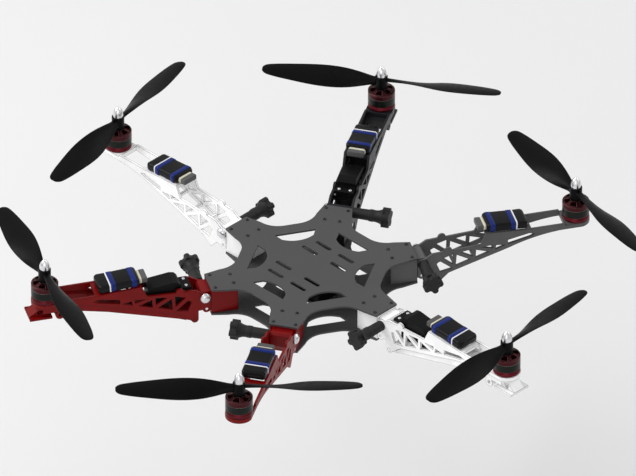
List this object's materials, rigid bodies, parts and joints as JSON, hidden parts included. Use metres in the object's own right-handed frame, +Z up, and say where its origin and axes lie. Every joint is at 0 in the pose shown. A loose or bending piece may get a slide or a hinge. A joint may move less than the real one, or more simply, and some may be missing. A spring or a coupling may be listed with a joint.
{
  "type": "hexacopter drone",
  "caption": "Folding multirotor airframe: two clamped hub plates carry box-truss arms with a motor, propeller and speed controller on each, and swinging legs on alternate arms.",
  "frame": {"origin": "centre of the bottom plate's lower face", "axes": "+Z up through the hub, -Y towards the front, which is the side of the two red arms, +X towards arm 4"},
  "size_m": [0.6266, 0.6636, 0.0992],
  "materials": {
    "plate": "satin",
    "steel": "polished",
    "black_steel": "black oxide",
    "black_plastic": "matte",
    "arm_white": "satin",
    "arm_dark_grey": "satin",
    "arm_grey": "satin",
    "arm_red": "satin",
    "esc_sleeve": "semi-gloss",
    "motor_red": "anodised",
    "motor_black": "satin",
    "prop_black": "satin",
    "spinner_silver": "polished",
    "knob_black": "satin"
  },
  "bodies": {
    "hub": {"bottom_plate": "plate", "top_plate": "plate", "hinge_pins": "steel", "lock_bolts": "steel", "plate_screws": "black_steel", "flight_controller": "black_plastic", "hub_lug_1": "arm_white", "hub_lug_2": "arm_dark_grey", "hub_lug_3": "arm_grey", "hub_lug_4": "arm_white", "hub_lug_5": "arm_red", "hub_lug_6": "arm_red"},
    "arm_1": {"arm_1": "arm_white", "esc_1": "esc_sleeve", "motor_base_1": "motor_red"},
    "rotor_1": {"motor_can_1": "motor_black", "propeller_1": "prop_black", "spinner_1": "spinner_silver"},
    "knob_1": {"lock_knob_1": "knob_black"},
    "arm_2": {"arm_2": "arm_dark_grey", "esc_2": "esc_sleeve", "motor_base_2": "motor_red", "servo_2": "black_plastic"},
    "rotor_2": {"motor_can_2": "motor_black", "propeller_2": "prop_black", "spinner_2": "spinner_silver"},
    "knob_2": {"lock_knob_2": "knob_black"},
    "leg_2": {"leg_2": "arm_dark_grey"},
    "arm_3": {"arm_3": "arm_grey", "esc_3": "esc_sleeve", "motor_base_3": "motor_red"},
    "rotor_3": {"motor_can_3": "motor_black", "propeller_3": "prop_black", "spinner_3": "spinner_silver"},
    "knob_3": {"lock_knob_3": "knob_black"},
    "arm_4": {"arm_4": "arm_white", "esc_4": "esc_sleeve", "motor_base_4": "motor_red", "servo_4": "black_plastic"},
    "rotor_4": {"motor_can_4": "motor_black", "propeller_4": "prop_black", "spinner_4": "spinner_silver"},
    "knob_4": {"lock_knob_4": "knob_black"},
    "leg_4": {"leg_4": "arm_white"},
    "arm_5": {"arm_5": "arm_red", "esc_5": "esc_sleeve", "motor_base_5": "motor_red"},
    "rotor_5": {"motor_can_5": "motor_black", "propeller_5": "prop_black", "spinner_5": "spinner_silver"},
    "knob_5": {"lock_knob_5": "knob_black"},
    "arm_6": {"arm_6": "arm_red", "esc_6": "esc_sleeve", "motor_base_6": "motor_red", "servo_6": "black_plastic"},
    "rotor_6": {"motor_can_6": "motor_black", "propeller_6": "prop_black", "spinner_6": "spinner_silver"},
    "knob_6": {"lock_knob_6": "knob_black"},
    "leg_6": {"leg_6": "arm_red"}
  },
  "joints": [
    {"name": "arm_fold_1", "type": "hinge", "parent": "hub", "child": "arm_1", "pos_m": [-0.1155, 0, 0.0083], "axis": [0, -1, 0], "range_deg": [0, 90]},
    {"name": "rotor_spin_1", "type": "hinge", "parent": "arm_1", "child": "rotor_1", "pos_m": [-0.285, 0, 0.06], "axis": [0, 0, 1], "continuous": true},
    {"name": "knob_turn_1", "type": "hinge", "parent": "hub", "child": "knob_1", "pos_m": [-0.117, 0.03, 0.0226], "axis": [0, 1, 0], "range_deg": [0, 720]},
    {"name": "arm_fold_2", "type": "hinge", "parent": "hub", "child": "arm_2", "pos_m": [-0.05775, 0.10003, 0.0083], "axis": [-0.866, -0.5, 0], "range_deg": [0, 90]},
    {"name": "rotor_spin_2", "type": "hinge", "parent": "arm_2", "child": "rotor_2", "pos_m": [-0.1425, 0.24682, 0.06], "axis": [0, 0, 1], "continuous": true},
    {"name": "knob_turn_2", "type": "hinge", "parent": "hub", "child": "knob_2", "pos_m": [-0.03252, 0.11632, 0.0226], "axis": [0.866, 0.5, 0], "range_deg": [0, 720]},
    {"name": "leg_swing_2", "type": "hinge", "parent": "arm_2", "child": "leg_2", "pos_m": [-0.064, 0.11085, -0.003], "axis": [0.866, 0.5, 0], "range_deg": [-90, 0]},
    {"name": "arm_fold_3", "type": "hinge", "parent": "hub", "child": "arm_3", "pos_m": [0.05775, 0.10003, 0.0083], "axis": [-0.866, 0.5, 0], "range_deg": [0, 90]},
    {"name": "rotor_spin_3", "type": "hinge", "parent": "arm_3", "child": "rotor_3", "pos_m": [0.1425, 0.24682, 0.06], "axis": [0, 0, 1], "continuous": true},
    {"name": "knob_turn_3", "type": "hinge", "parent": "hub", "child": "knob_3", "pos_m": [0.08448, 0.08632, 0.0226], "axis": [0.866, -0.5, 0], "range_deg": [0, 720]},
    {"name": "arm_fold_4", "type": "hinge", "parent": "hub", "child": "arm_4", "pos_m": [0.1155, 0, 0.0083], "axis": [0, 1, 0], "range_deg": [0, 90]},
    {"name": "rotor_spin_4", "type": "hinge", "parent": "arm_4", "child": "rotor_4", "pos_m": [0.285, 0, 0.06], "axis": [0, 0, 1], "continuous": true},
    {"name": "knob_turn_4", "type": "hinge", "parent": "hub", "child": "knob_4", "pos_m": [0.117, -0.03, 0.0226], "axis": [0, -1, 0], "range_deg": [0, 720]},
    {"name": "leg_swing_4", "type": "hinge", "parent": "arm_4", "child": "leg_4", "pos_m": [0.128, 0, -0.003], "axis": [0, -1, 0], "range_deg": [-90, 0]},
    {"name": "arm_fold_5", "type": "hinge", "parent": "hub", "child": "arm_5", "pos_m": [0.05775, -0.10003, 0.0083], "axis": [0.866, 0.5, 0], "range_deg": [0, 90]},
    {"name": "rotor_spin_5", "type": "hinge", "parent": "arm_5", "child": "rotor_5", "pos_m": [0.1425, -0.24682, 0.06], "axis": [0, 0, 1], "continuous": true},
    {"name": "knob_turn_5", "type": "hinge", "parent": "hub", "child": "knob_5", "pos_m": [0.03252, -0.11632, 0.0226], "axis": [-0.866, -0.5, 0], "range_deg": [0, 720]},
    {"name": "arm_fold_6", "type": "hinge", "parent": "hub", "child": "arm_6", "pos_m": [-0.05775, -0.10003, 0.0083], "axis": [0.866, -0.5, 0], "range_deg": [0, 90]},
    {"name": "rotor_spin_6", "type": "hinge", "parent": "arm_6", "child": "rotor_6", "pos_m": [-0.1425, -0.24682, 0.06], "axis": [0, 0, 1], "continuous": true},
    {"name": "knob_turn_6", "type": "hinge", "parent": "hub", "child": "knob_6", "pos_m": [-0.08448, -0.08632, 0.0226], "axis": [-0.866, 0.5, 0], "range_deg": [0, 720]},
    {"name": "leg_swing_6", "type": "hinge", "parent": "arm_6", "child": "leg_6", "pos_m": [-0.064, -0.11085, -0.003], "axis": [-0.866, 0.5, 0], "range_deg": [-90, 0]}
  ]
}
